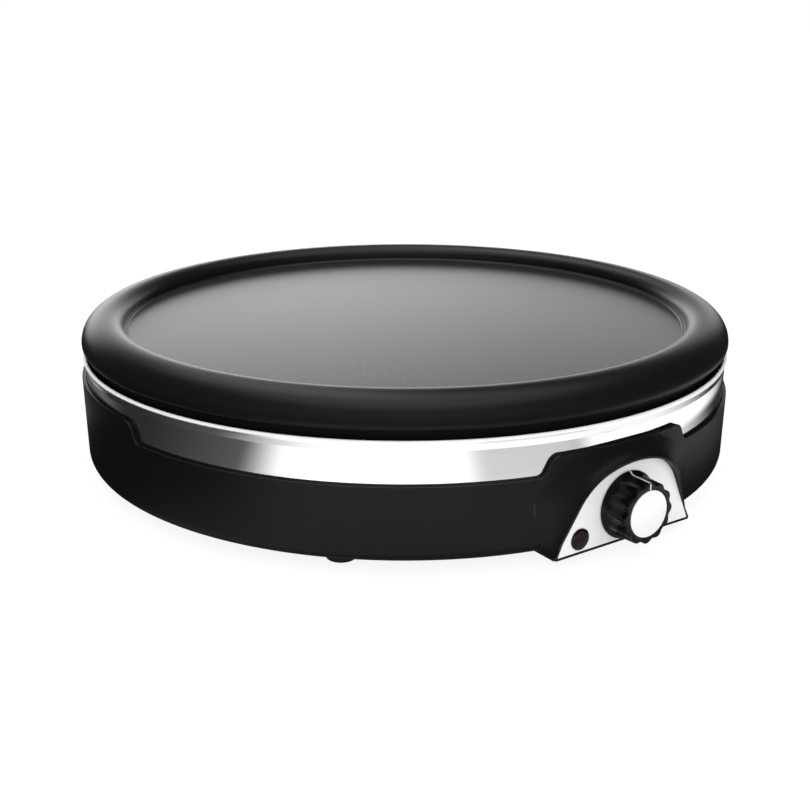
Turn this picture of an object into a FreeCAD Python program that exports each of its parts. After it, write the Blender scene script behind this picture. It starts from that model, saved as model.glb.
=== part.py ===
import FreeCAD, Part
import math
import os

# Electric crepe maker: a round non-stick griddle with a bulged rim, held over a low moulded
# casing by four long screws. A steel band closes the gap between them. A thermostat with a
# fluted knob sits behind an arched panel at the front, and a cord gland is at the rear.
#
# Millimetres. +Z is up, the table is Z = 0 and the control panel faces -Y. Shapes are drawn
# about the griddle's axis, then moved along Y so that the origin is the middle of the
# footprint, knob and gland included. "Bearing" is the angle from the panel, towards +X.

V = FreeCAD.Vector

# Griddle
RIM_RADIUS = 165.0
CREST_RADIUS = 151.8
CREST_Z = 77.2
EQUATOR_Z = 65.3
SURFACE_Z = 69.3
SURFACE_RADIUS = 142.0
RECESS_RADIUS = 143.6
RECESS_LEDGE_Z = 70.1
PLATE_THICKNESS = 5.0
NECK_RADIUS = 161.4
NECK_FOOT_Z = 56.5
BOSS_FOOT_Z = 52.0

# Casing
CASING_BOTTOM_Z = 4.8
FLOOR_TOP_Z = 7.0
CASING_RADIUS = 166.0
CASING_FOOT_RADIUS = 165.5
BOTTOM_ROUND = 6.2
LOW_SILL_Z = 39.7
HIGH_SILL_Z = 49.0
LIP_INNER_RADIUS = 164.35
LEDGE_Z = 34.0
WALL_INNER_RADIUS = 163.0
PANEL_JOG_BEARING = 13.5
SIDE_JOG_BEARING = 81.3
JOG_SLOPE = 62.0

# Band
BAND_RADIUS = 164.0
BAND_THICKNESS = 0.6
BAND_FACET_Z = 54.2
BAND_TOP_Z = 59.1
BEAD_RADIUS = 0.9

# Control panel, measured along -Y from the griddle's axis. The fascia is upright, and the
# swelling's face leans forward over it like a visor: they cross at VISOR_CROSS_Z.
FASCIA_FACE_Y = -168.0
FASCIA_THICKNESS = 1.0
PANEL_BACK_Y = -164.8
FASCIA_BOTTOM_Z = 5.4
FASCIA_HALF_WIDTH = 38.3
FASCIA_HEIGHT = 37.0
ARCH_LEAN = 24.1
SHOULDER_RADIUS = 23.8
ARCH_CROWN = 1.25
VISOR_CROSS_Z = 10.8
VISOR_SLOPE = 0.17
VISOR_FRONT_Y = -175.0
SWELLING_FOOT_Z = 4.0
SWELLING_HALF_WIDTH = 39.5
PANEL_CLEAR_X = 60.0
KNOB_Z = 21.0
LAMP_X = -26.3
LAMP_Z = 11.2
LAMP_RADIUS = 4.86

# Knob
SKIRT_RADIUS = 15.4
KNOB_BACK_Y = -168.3
KNOB_FRONT_Y = -181.3
KNOB_FRONT_RADIUS = 13.8
KNOB_BODY_RADIUS = 14.1
CAP_RADIUS = 10.45
CAP_FACE_Y = -181.7
FLUTES = 12
SHAFT_RADIUS = 3.0

# Screws, feet and gland
FOOT_PITCH_RADIUS = 149.3
FOOT_RADIUS = 7.4
TOWER_PITCH_RADIUS = 118.0
CORNER_BEARINGS = (45, 135, 225, 315)
BAND_SCREW_BEARINGS = (60, 120, 240, 300)
BAND_SCREW_RADIUS = 157.5
GLAND_Z = 20.0
GLAND_BORE_RADIUS = 3.7
GLAND_LAND_Y = 166.6
GLAND_FACE_Y = 168.6

# Inside
SHIELD_Z = 46.0
SHIELD_RADIUS = 150.0
SHIELD_THICKNESS = 0.5
ELEMENT_LOOP_RADIUS = 98.0
ELEMENT_RADIUS = 3.5
ELEMENT_Z = 60.6
ELEMENT_END_X = 14.0
ELEMENT_END_Y = -128.0
PIN_Y = -137.0
LEAD_RADIUS = 1.1
CLAMP_SCREW_YS = (-68, -52)
CLAMP_DROP = 5.1
BLOCK_WAYS_X = (-9, 0, 9)
BLOCK_SCREWS_X = (-4.5, 4.5)
EARTH_X = 70

# The appliance's middle, front to back, becomes Y = 0
AXIS_SHIFT_Y = -(CAP_FACE_Y + GLAND_FACE_Y) / 2


def at_bearing(radius, bearing, z=0.0):
    angle = math.radians(bearing)
    return V(radius * math.sin(angle), -radius * math.cos(angle), z)


def fused(shapes):
    whole = shapes[0]
    for shape in shapes[1:]:
        whole = whole.fuse(shape)
    return whole.removeSplitter()


def corner_arc(before, corner, after, radius):
    """The start, middle and end of the arc that rounds a corner between two straight runs."""
    to_before = (before - corner).normalize()
    to_after = (after - corner).normalize()
    half = to_before.getAngle(to_after) / 2
    run = radius / math.tan(half)
    reach = radius / math.sin(half) - radius
    middle = corner + (to_before + to_after).normalize() * reach
    return corner + to_before * run, middle, corner + to_after * run


def rounded_wire(corners, closed=True):
    """Straight runs through the (point, radius) corners, with an arc wherever a radius is given."""
    points = [point for point, radius in corners]
    count = len(points)
    edges = []
    joints = []
    for index, (point, radius) in enumerate(corners):
        is_end = not closed and index in (0, count - 1)
        if radius and not is_end:
            joints.append(corner_arc(points[index - 1], point, points[(index + 1) % count], radius))
        else:
            joints.append((point, None, point))
    for index, (start, middle, end) in enumerate(joints):
        if middle:
            edges.append(Part.Arc(start, middle, end).toShape())
        if closed or index < count - 1:
            following = joints[(index + 1) % count][0]
            if end.distanceToPoint(following) > 1e-6:
                edges.append(Part.LineSegment(end, following).toShape())
    return Part.Wire(edges)


def turned(corners):
    """A solid of revolution about Z, from (radius, z) or (radius, z, corner radius) corners."""
    wire = rounded_wire([(V(c[0], 0, c[1]), c[2] if len(c) > 2 else 0) for c in corners])
    return Part.Face(wire).revolve(V(0, 0, 0), V(0, 0, 1), 360)


def turned_on_panel(corners, x, z):
    """A solid of revolution about a front-to-back axis at (x, z), from (radius, y) corners."""
    wire = rounded_wire([(V(x + c[0], c[1], z), c[2] if len(c) > 2 else 0) for c in corners])
    return Part.Face(wire).revolve(V(x, 0, z), V(0, 1, 0), 360)


def post(radius, bottom, top, centre):
    return Part.makeCylinder(radius, top - bottom, V(centre.x, centre.y, bottom))


def block(x, y, z):
    """A box from three (low, high) pairs."""
    return Part.makeBox(x[1] - x[0], y[1] - y[0], z[1] - z[0], V(x[0], y[0], z[0]))


def piped(path, radius):
    """A round rod or wire along a path."""
    start = path.Edges[0].valueAt(path.Edges[0].FirstParameter)
    heading = path.Edges[0].tangentAt(path.Edges[0].FirstParameter)
    section = Part.Wire(Part.makeCircle(radius, start, heading))
    return path.makePipeShell([section], True, False)


def quarter(centre_r, centre_z, reach_r, reach_z, first, last):
    """A quarter of an ellipse in the (radius, z) half-plane, between two angles in degrees."""
    steps = 6
    points = []
    for step in range(steps + 1):
        angle = math.radians(first + (last - first) * step / steps)
        points.append(V(centre_r + reach_r * math.cos(angle), 0, centre_z + reach_z * math.sin(angle)))
    turn = 1 if last > first else -1

    def heading(degrees):
        angle = math.radians(degrees)
        return V(-reach_r * math.sin(angle), 0, reach_z * math.cos(angle)) * turn

    curve = Part.BSplineCurve()
    curve.interpolate(Points=points, InitialTangent=heading(first), FinalTangent=heading(last))
    return curve.toShape()


def chain(points):
    """Straight edges through (radius, z) points in the half-plane."""
    ends = [V(r, 0, z) for r, z in points]
    return [Part.LineSegment(a, b).toShape() for a, b in zip(ends, ends[1:])]


def element_path():
    """The heating loop: one big turn whose two ends bend outwards to the front, side by side."""
    bend = 16.0
    centre_x = ELEMENT_END_X + bend
    centre_y = -math.sqrt((ELEMENT_LOOP_RADIUS + bend) ** 2 - centre_x ** 2)
    share = ELEMENT_LOOP_RADIUS / (ELEMENT_LOOP_RADIUS + bend)
    joint = V(centre_x * share, centre_y * share, ELEMENT_Z)
    bend_end = V(ELEMENT_END_X, centre_y, ELEMENT_Z)
    centre = V(centre_x, centre_y, ELEMENT_Z)
    towards = ((joint - centre) + (bend_end - centre)).normalize()
    bend_middle = centre + towards * bend

    def mirrored(point):
        return V(-point.x, point.y, point.z)

    top = V(0, ELEMENT_LOOP_RADIUS, ELEMENT_Z)
    end = V(ELEMENT_END_X, ELEMENT_END_Y, ELEMENT_Z)
    return Part.Wire([
        Part.LineSegment(end, bend_end).toShape(),
        Part.Arc(bend_end, bend_middle, joint).toShape(),
        Part.Arc(joint, top, mirrored(joint)).toShape(),
        Part.Arc(mirrored(joint), mirrored(bend_middle), mirrored(bend_end)).toShape(),
        Part.LineSegment(mirrored(bend_end), mirrored(end)).toShape(),
    ])


def griddle_plate():
    """Cast plate: a flat surface in a shallow recess, a hollow bulged rim and a neck below it."""
    underside = SURFACE_Z - PLATE_THICKNESS
    lip_r = 2.4
    lip_z = 2.7
    wall = 3.4
    hollow_r = 147.2
    neck_inner = NECK_RADIUS - 2.8
    hollow_z = 66.0
    lip_centre = RIM_RADIUS - lip_r
    lip_foot = EQUATOR_Z - lip_z
    edges = chain([(0, underside), (0, SURFACE_Z), (SURFACE_RADIUS, SURFACE_Z),
                   (SURFACE_RADIUS + 0.5, SURFACE_Z + 0.5), (RECESS_RADIUS - 0.4, SURFACE_Z + 0.5),
                   (RECESS_RADIUS, RECESS_LEDGE_Z)])
    edges.append(quarter(CREST_RADIUS, RECESS_LEDGE_Z, CREST_RADIUS - RECESS_RADIUS,
                         CREST_Z - RECESS_LEDGE_Z, 180, 90))
    edges.append(quarter(CREST_RADIUS, EQUATOR_Z, RIM_RADIUS - CREST_RADIUS,
                         CREST_Z - EQUATOR_Z, 90, 0))
    edges.append(quarter(lip_centre, EQUATOR_Z, lip_r, lip_z, 0, -90))
    edges += chain([(lip_centre, lip_foot), (NECK_RADIUS, lip_foot), (NECK_RADIUS, NECK_FOOT_Z),
                    (neck_inner, NECK_FOOT_Z), (neck_inner, hollow_z)])
    edges.append(quarter(CREST_RADIUS, hollow_z, neck_inner - CREST_RADIUS,
                         CREST_Z - wall - hollow_z, 0, 90))
    edges.append(quarter(CREST_RADIUS, hollow_z, CREST_RADIUS - hollow_r,
                         CREST_Z - wall - hollow_z, 90, 180))
    edges += chain([(hollow_r, hollow_z), (hollow_r, underside), (0, underside)])
    body = Part.Face(Part.Wire(edges)).revolve(V(0, 0, 0), V(0, 0, 1), 360)
    # The heating loop lies in a groove in a raised rib under the plate
    path = element_path()
    rib_half = ELEMENT_RADIUS + 3.0
    start = V(ELEMENT_END_X, ELEMENT_END_Y, ELEMENT_Z)
    rib_section = rounded_wire([
        (start + V(-rib_half, 0, -0.5), 0),
        (start + V(rib_half, 0, -0.5), 0),
        (start + V(rib_half, 0, underside + 0.5 - ELEMENT_Z), 0),
        (start + V(-rib_half, 0, underside + 0.5 - ELEMENT_Z), 0)])
    rib = path.makePipeShell([rib_section], True, False)
    body = body.fuse(rib)
    for bearing in CORNER_BEARINGS:
        body = body.fuse(post(5.5, BOSS_FOOT_Z, underside + 0.5, at_bearing(TOWER_PITCH_RADIUS, bearing)))
    body = body.cut(piped(path, ELEMENT_RADIUS + 0.05))
    for bearing in CORNER_BEARINGS:
        body = body.cut(post(2.05, BOSS_FOOT_Z - 1, underside, at_bearing(TOWER_PITCH_RADIUS, bearing)))
    # Two small bosses take the screws of the sensor clamp
    for y in CLAMP_SCREW_YS:
        centre = V(0, y, 0)
        body = body.fuse(post(3.0, underside - CLAMP_DROP, underside + 0.5, centre))
        body = body.cut(post(1.3, underside - CLAMP_DROP - 1, underside, centre))
    return body.removeSplitter()


def heating_element():
    return piped(element_path(), ELEMENT_RADIUS)


def element_terminals():
    """A ceramic collar and a flat-ended pin at each end of the loop."""
    collar_end = ELEMENT_END_Y - 4.0
    ends = []
    for x in (-ELEMENT_END_X, ELEMENT_END_X):
        collar = Part.makeCylinder(3.0, 4.0, V(x, collar_end, ELEMENT_Z), V(0, 1, 0))
        pin = Part.makeCylinder(1.2, 7.0, V(x, collar_end - 7.0, ELEMENT_Z), V(0, 1, 0))
        ends.append(collar.fuse(pin).removeSplitter())
    return Part.makeCompound(ends)


def heat_shield():
    """Pressed steel dish that keeps the heat off the casing."""
    rim_z = 60.0
    wall_inner = SHIELD_RADIUS - SHIELD_THICKNESS
    dish = turned([(0, SHIELD_Z), (SHIELD_RADIUS, SHIELD_Z, 4.0), (SHIELD_RADIUS, rim_z - 1),
                   (SHIELD_RADIUS + 5, rim_z - 1), (SHIELD_RADIUS + 5, rim_z - 0.5),
                   (wall_inner, rim_z - 0.5), (wall_inner, SHIELD_Z + SHIELD_THICKNESS, 3.5),
                   (0, SHIELD_Z + SHIELD_THICKNESS)])
    for bearing in CORNER_BEARINGS:
        dish = dish.cut(post(2.3, SHIELD_Z - 1, SHIELD_Z + 2, at_bearing(TOWER_PITCH_RADIUS, bearing)))
    lead_slot = block((-22, 22), (-143, -133), (SHIELD_Z - 1, SHIELD_Z + 2))
    sensor_slot = block((26, 34), (-66, -54), (SHIELD_Z - 1, SHIELD_Z + 2))
    earth_hole = post(2.0, SHIELD_Z - 1, SHIELD_Z + 2, V(EARTH_X, 20, 0))
    for opening in (lead_slot, sensor_slot, earth_hole):
        dish = dish.cut(opening)
    return dish.removeSplitter()


def shield_spacers():
    """Steel sleeves that hold the shield off the griddle."""
    sleeves = []
    for bearing in CORNER_BEARINGS:
        centre = at_bearing(TOWER_PITCH_RADIUS, bearing)
        sleeve = post(4.5, SHIELD_Z + SHIELD_THICKNESS, BOSS_FOOT_Z, centre)
        sleeves.append(sleeve.cut(post(2.3, SHIELD_Z, BOSS_FOOT_Z + 1, centre)))
    return Part.makeCompound(sleeves)


def steel_band():
    """Rolled steel band: a straight wall, a leaning facet above it, a rolled top and screw tabs."""
    inner = BAND_RADIUS - BAND_THICKNESS
    bead_centre = BAND_RADIUS
    bead_z = BAND_TOP_Z - BEAD_RADIUS
    foot_z = LEDGE_Z + 0.1
    facet_inner = bead_centre + BEAD_RADIUS - BAND_THICKNESS
    outer = [V(inner, 0, foot_z), V(BAND_RADIUS, 0, foot_z), V(BAND_RADIUS, 0, BAND_FACET_Z),
             V(bead_centre + BEAD_RADIUS, 0, bead_z)]
    edges = [Part.LineSegment(a, b).toShape() for a, b in zip(outer, outer[1:])]
    bead_left = V(bead_centre - BEAD_RADIUS, 0, bead_z)
    edges.append(Part.Arc(outer[-1], V(bead_centre, 0, BAND_TOP_Z), bead_left).toShape())
    inward = [bead_left, V(bead_left.x, 0, bead_z - 1.2), V(bead_left.x + 0.5, 0, bead_z - 1.2),
              V(bead_left.x + 0.5, 0, bead_z)]
    edges += [Part.LineSegment(a, b).toShape() for a, b in zip(inward, inward[1:])]
    curl_end = V(facet_inner, 0, bead_z)
    middle_x = (inward[-1].x + curl_end.x) / 2
    curl_rise = (curl_end.x - inward[-1].x) / 2
    edges.append(Part.Arc(inward[-1], V(middle_x, 0, bead_z + curl_rise), curl_end).toShape())
    back = [curl_end, V(inner, 0, BAND_FACET_Z), V(inner, 0, foot_z)]
    edges += [Part.LineSegment(a, b).toShape() for a, b in zip(back, back[1:])]
    band = Part.Face(Part.Wire(edges)).revolve(V(0, 0, 0), V(0, 0, 1), 360)
    for bearing in BAND_SCREW_BEARINGS:
        tab = block((-5, 5), (-inner - 0.3, -BAND_SCREW_RADIUS + 5), (foot_z, foot_z + BAND_THICKNESS))
        tab.rotate(V(0, 0, 0), V(0, 0, 1), bearing)
        band = band.fuse(tab)
        band = band.cut(post(1.7, foot_z - 1, foot_z + 2, at_bearing(BAND_SCREW_RADIUS, bearing)))
    return band.removeSplitter()


def arch_wire(y, half_width, height, lean, shoulder, foot_z):
    """The panel's outline: leaning sides, round shoulders and a gently crowned top, all tangent."""
    slope = math.radians(lean)
    centre_z = height - shoulder - ARCH_CROWN
    centre_x = half_width - (shoulder + centre_z * math.sin(slope)) / math.cos(slope)
    drop = height - centre_z
    top_radius = (centre_x ** 2 + drop ** 2 - shoulder ** 2) / (2 * (drop - shoulder))
    side = V(centre_x + shoulder * math.cos(slope), y, centre_z + shoulder * math.sin(slope))
    spread = math.atan2(centre_x, centre_z - height + top_radius)
    crown = V(top_radius * math.sin(spread), y, height - top_radius * (1 - math.cos(spread)))
    middle_angle = (slope + math.pi / 2 - spread) / 2
    bend = V(centre_x + shoulder * math.cos(middle_angle), y,
             centre_z + shoulder * math.sin(middle_angle))

    def left(point):
        return V(-point.x, point.y, point.z)

    foot = V(half_width, y, 0)
    wire = Part.Wire([
        Part.LineSegment(left(foot), foot).toShape(),
        Part.LineSegment(foot, side).toShape(),
        Part.Arc(side, bend, crown).toShape(),
        Part.Arc(crown, V(0, y, height), left(crown)).toShape(),
        Part.Arc(left(crown), left(bend), left(side)).toShape(),
        Part.LineSegment(left(side), left(foot)).toShape(),
    ])
    wire.translate(V(0, 0, foot_z))
    return wire


def fascia_prism(gap, front_y, back_y):
    """A block of the fascia's outline, grown by a gap, between two depths."""
    grown = gap / math.cos(math.radians(ARCH_LEAN))
    wire = arch_wire(front_y, FASCIA_HALF_WIDTH + grown, FASCIA_HEIGHT + 2 * gap, ARCH_LEAN,
                     SHOULDER_RADIUS + gap, FASCIA_BOTTOM_Z - gap)
    return Part.Face(wire).extrude(V(0, back_y - front_y, 0))


def in_front_of_visor():
    """Everything in front of the swelling's leaning face."""
    top = HIGH_SILL_Z + 5
    ahead = VISOR_FRONT_Y - 5
    face = [(FASCIA_FACE_Y - VISOR_SLOPE * (z - VISOR_CROSS_Z), z) for z in (0, top)]
    outline = [V(-PANEL_CLEAR_X, y, z) for y, z in face + [(ahead, top), (ahead, 0)]]
    return Part.Face(Part.makePolygon(outline + outline[:1])).extrude(V(2 * PANEL_CLEAR_X, 0, 0))


def panel_bump():
    """The moulded swelling that carries the panel: it flares smoothly into the casing's wall."""
    # Y of the section, height, lean of the sides, shoulder radius
    sections = (
        (VISOR_FRONT_Y, 39.5, 24.1, 24.9),
        (-173.4, 39.5, 24.1, 24.9),
        (-171.8, 39.7, 23.9, 25.0),
        (-170.2, 40.2, 23.2, 25.1),
        (-168.6, 41.4, 21.6, 25.4),
        (-167.2, 43.4, 19.3, 25.8),
        (-166.0, 45.6, 16.4, 26.2),
        (-164.9, 47.6, 13.1, 26.6),
        (-163.8, 49.2, 9.2, 27.0),
        (-162.7, 50.4, 4.4, 27.4),
        (-161.7, 51.3, -1.3, 27.8),
        (-160.7, 52.0, -7.9, 28.2),
        (-159.7, 52.6, -15.5, 28.6),
    )
    wires = [arch_wire(y, SWELLING_HALF_WIDTH, height, lean, shoulder, SWELLING_FOOT_Z)
             for y, height, lean, shoulder in sections]
    swelling = Part.makeLoft(wires, True, False)
    root_depth = 12.0
    root = Part.Face(wires[-1]).extrude(V(0, root_depth, 0))
    below_sill = block((-PANEL_CLEAR_X, PANEL_CLEAR_X), (VISOR_FRONT_Y - 1, sections[-1][0] + root_depth),
                       (SWELLING_FOOT_Z, HIGH_SILL_Z))
    return swelling.fuse(root).common(below_sill).cut(in_front_of_visor())


def sill_window(first, last):
    """What is cut from the casing's lip between two bearings to make a length of low sill."""
    run = 4.6
    overlap = 0.5
    shelf = 7.0
    low_round = 3.5
    high_round = 6.5
    turn = math.degrees(run / CASING_RADIUS)
    low = LIP_INNER_RADIUS - 3
    high = CASING_RADIUS + 3
    above = HIGH_SILL_Z + 5
    corners = [V(r, 0, z) for r, z in ((low, LOW_SILL_Z), (high, LOW_SILL_Z), (high, above), (low, above))]
    section = Part.Face(rounded_wire([(corner, 0) for corner in corners]))
    section.rotate(V(0, 0, 0), V(0, 0, 1), first + turn - 90)
    shapes = [section.revolve(V(0, 0, 0), V(0, 0, 1), last - first - 2 * turn)]
    half_rise = (HIGH_SILL_Z - LOW_SILL_Z) / 2
    half_run = half_rise / math.tan(math.radians(JOG_SLOPE))
    for bearing, side in ((first, 1), (last, -1)):
        outline = [(V(side * (run + overlap), -low, LOW_SILL_Z), 0),
                   (V(side * half_run, -low, LOW_SILL_Z), low_round),
                   (V(-side * half_run, -low, HIGH_SILL_Z), high_round),
                   (V(-side * shelf, -low, HIGH_SILL_Z), 0),
                   (V(-side * shelf, -low, above), 0),
                   (V(side * (run + overlap), -low, above), 0)]
        jog = Part.Face(rounded_wire(outline)).extrude(V(0, low - high - 1, 0))
        jog.rotate(V(0, 0, 0), V(0, 0, 1), bearing)
        shapes.append(jog)
    return fused(shapes)


def base_casing():
    """Moulded bowl with a stepped sill, the panel's swelling, a vented floor, towers and posts."""
    outside = turned([(0, CASING_BOTTOM_Z), (CASING_FOOT_RADIUS, CASING_BOTTOM_Z, BOTTOM_ROUND),
                      (CASING_RADIUS, HIGH_SILL_Z, 0.6), (0, HIGH_SILL_Z)])
    land = Part.makeCylinder(11.0, 10.0, V(0, GLAND_LAND_Y - 10.0, GLAND_Z), V(0, 1, 0))
    casing = outside.fuse(panel_bump()).fuse(land)
    inside = turned([(0, FLOOR_TOP_Z), (WALL_INNER_RADIUS, FLOOR_TOP_Z, 4.5), (WALL_INNER_RADIUS, LEDGE_Z),
                     (LIP_INNER_RADIUS, LEDGE_Z), (LIP_INNER_RADIUS, HIGH_SILL_Z + 1), (0, HIGH_SILL_Z + 1)])
    pocket = fascia_prism(-1.6, PANEL_BACK_Y, PANEL_BACK_Y + 20)
    recess = fascia_prism(0.15, VISOR_FRONT_Y - 1, FASCIA_FACE_Y + FASCIA_THICKNESS)
    casing = casing.cut(inside).cut(pocket).cut(recess)
    casing = casing.cut(sill_window(PANEL_JOG_BEARING, SIDE_JOG_BEARING))
    casing = casing.cut(sill_window(-SIDE_JOG_BEARING, -PANEL_JOG_BEARING))
    for bearing in CORNER_BEARINGS:
        tower = at_bearing(TOWER_PITCH_RADIUS, bearing)
        casing = casing.fuse(post(7.0, FLOOR_TOP_Z - 1, SHIELD_Z, tower))
        casing = casing.cut(post(4.6, CASING_BOTTOM_Z - 1, 30.0, tower))
        casing = casing.cut(post(2.3, 29.0, SHIELD_Z + 1, tower))
        foot_centre = at_bearing(FOOT_PITCH_RADIUS, bearing)
        casing = casing.cut(post(4.5, CASING_BOTTOM_Z - 1, FLOOR_TOP_Z + 1, foot_centre))
    for bearing in BAND_SCREW_BEARINGS:
        centre = at_bearing(BAND_SCREW_RADIUS, bearing)
        casing = casing.fuse(post(4.0, FLOOR_TOP_Z - 1, LEDGE_Z, centre))
        casing = casing.cut(post(1.35, LEDGE_Z - 12, LEDGE_Z + 1, centre))
    # Block posts for the terminal block, and the openings for shaft, lamp, screws and gland
    for x in BLOCK_SCREWS_X:
        casing = casing.fuse(post(3.0, FLOOR_TOP_Z - 1, 12.0, V(x, 118, 0)))
        casing = casing.cut(post(1.25, FLOOR_TOP_Z, 13.0, V(x, 118, 0)))
    through = V(0, 1, 0)
    casing = casing.cut(Part.makeCylinder(5.0, 8.0, V(0, FASCIA_FACE_Y - 0.5, KNOB_Z), through))
    casing = casing.cut(Part.makeCylinder(4.1, 8.0, V(LAMP_X, FASCIA_FACE_Y - 0.5, LAMP_Z), through))
    for x in (-10, 10):
        casing = casing.cut(Part.makeCylinder(1.7, 8.0, V(x, FASCIA_FACE_Y - 0.5, KNOB_Z), through))
    casing = casing.cut(Part.makeCylinder(6.1, 20.0, V(0, 150, GLAND_Z), through))
    for index in range(24):
        slot = block((-1.5, 1.5), (-88, -60), (CASING_BOTTOM_Z - 1, FLOOR_TOP_Z + 1))
        slot.rotate(V(0, 0, 0), V(0, 0, 1), 7.5 + index * 15)
        casing = casing.cut(slot)
    return casing.removeSplitter()


def foot(bearing):
    """Rubber foot whose stem is pushed through the floor and held by its barb."""
    shape = turned([(0, 0), (6.6, 0, 0.8), (FOOT_RADIUS, CASING_BOTTOM_Z), (4.3, CASING_BOTTOM_Z),
                    (4.3, FLOOR_TOP_Z + 0.1), (5.6, FLOOR_TOP_Z + 0.1), (4.0, 10.0), (0, 10.0)])
    shape.translate(at_bearing(FOOT_PITCH_RADIUS, bearing))
    return shape


def plate_screws():
    """Four long screws that clamp griddle, sleeves, shield and casing together from below."""
    screws = []
    for bearing in CORNER_BEARINGS:
        centre = at_bearing(TOWER_PITCH_RADIUS, bearing)
        shank = post(2.0, 29.9, 62.0, centre)
        head = post(4.0, 26.6, 30.0, centre)
        drive = block((-3, 3), (-0.5, 0.5), (26.0, 27.8))
        cross = block((-0.5, 0.5), (-3, 3), (26.0, 27.8))
        for bar in (drive, cross):
            bar.translate(V(centre.x, centre.y, 0))
            head = head.cut(bar)
        screws.append(head.fuse(shank).removeSplitter())
    return Part.makeCompound(screws)


def band_screws():
    top = LEDGE_Z + 0.1 + BAND_THICKNESS
    screws = []
    for bearing in BAND_SCREW_BEARINGS:
        centre = at_bearing(BAND_SCREW_RADIUS, bearing)
        shank = post(1.3, LEDGE_Z - 9, top, centre)
        head = post(2.6, top, top + 1.8, centre)
        screws.append(shank.fuse(head).removeSplitter())
    return Part.makeCompound(screws)


def control_fascia():
    """Arched metal plate with openings for the shaft and the lamp."""
    plate = fascia_prism(0.0, FASCIA_FACE_Y, FASCIA_FACE_Y + FASCIA_THICKNESS)
    through = V(0, 1, 0)
    plate = plate.cut(Part.makeCylinder(5.0, 4.0, V(0, FASCIA_FACE_Y - 1, KNOB_Z), through))
    return plate.cut(Part.makeCylinder(4.1, 4.0, V(LAMP_X, FASCIA_FACE_Y - 1, LAMP_Z), through))


def indicator_lens():
    """Dark red lens: a domed face on the fascia and a hollow barrel through it."""
    face = FASCIA_FACE_Y
    return turned_on_panel([(0, face - 1.0), (3.4, face - 0.9), (LAMP_RADIUS, face - 0.45),
                            (LAMP_RADIUS, face), (3.95, face), (3.95, face + 9.0), (3.0, face + 9.0),
                            (3.0, face + 0.6), (0, face + 0.6)], LAMP_X, LAMP_Z)


def neon_lamp():
    """Glass neon bulb with two wire ends, held in the lens."""
    face = FASCIA_FACE_Y
    bulb = turned_on_panel([(0, face + 1.2), (2.9, face + 1.2, 1.5), (2.9, face + 11.0), (0, face + 11.0)],
                           LAMP_X, LAMP_Z)
    for x in (-1.2, 1.2):
        wire = Part.makeCylinder(0.35, 4.0, V(LAMP_X + x, face + 10.5, LAMP_Z), V(0, 1, 0))
        bulb = bulb.fuse(wire)
    return bulb.removeSplitter()


def thermostat_knob():
    """Fluted knob: a round bevelled skirt, a body with twelve lobes and a recess for the cap."""
    bevel_y = KNOB_BACK_Y - 0.7
    body_y = KNOB_BACK_Y - 2.0
    body = turned_on_panel([(0, KNOB_BACK_Y), (SKIRT_RADIUS, KNOB_BACK_Y), (SKIRT_RADIUS, bevel_y),
                            (KNOB_BODY_RADIUS, body_y), (KNOB_FRONT_RADIUS, KNOB_FRONT_Y, 0.5),
                            (CAP_RADIUS + 0.05, KNOB_FRONT_Y),
                            (CAP_RADIUS + 0.05, KNOB_FRONT_Y + 1.0), (0, KNOB_FRONT_Y + 1.0)], 0, KNOB_Z)
    # Each scallop is a round cutter laid between two lobes
    cutter_radius = 4.2
    depth = 1.15
    for index in range(FLUTES):
        centre = V(0, KNOB_FRONT_Y - 1.0, KNOB_Z + KNOB_BODY_RADIUS + cutter_radius - depth)
        cutter = Part.makeCylinder(cutter_radius, body_y - KNOB_FRONT_Y + 1.0, centre, V(0, 1, 0))
        cutter.rotate(V(0, 0, KNOB_Z), V(0, 1, 0), (index + 0.5) * 360 / FLUTES)
        body = body.cut(cutter)
    hollow = turned_on_panel([(5.0, KNOB_BACK_Y + 1), (11.6, KNOB_BACK_Y + 1), (11.2, KNOB_BACK_Y - 7.5),
                              (5.0, KNOB_BACK_Y - 7.5)], 0, KNOB_Z)
    return body.cut(hollow).cut(d_shaft(SHAFT_RADIUS + 0.03, KNOB_BACK_Y + 1, KNOB_FRONT_Y + 3.0))


def d_shaft(radius, back_y, front_y):
    """A round shaft with a flat along its upper side."""
    rod = Part.makeCylinder(radius, back_y - front_y, V(0, front_y, KNOB_Z), V(0, 1, 0))
    flat_z = KNOB_Z + radius * 0.5
    return rod.cut(block((-10, 10), (front_y - 1, KNOB_BACK_Y + 1.2), (flat_z, KNOB_Z + 10)))


def knob_cap():
    """Bright metal disc pressed into the knob's face."""
    back_y = KNOB_FRONT_Y + 0.95
    return turned_on_panel([(0, CAP_FACE_Y), (CAP_RADIUS - 0.8, CAP_FACE_Y), (CAP_RADIUS, CAP_FACE_Y + 0.35),
                            (CAP_RADIUS, back_y), (0, back_y)], 0, KNOB_Z)


def thermostat_shaft():
    return d_shaft(SHAFT_RADIUS, PANEL_BACK_Y + 3.0, KNOB_FRONT_Y + 3.2)


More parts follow.
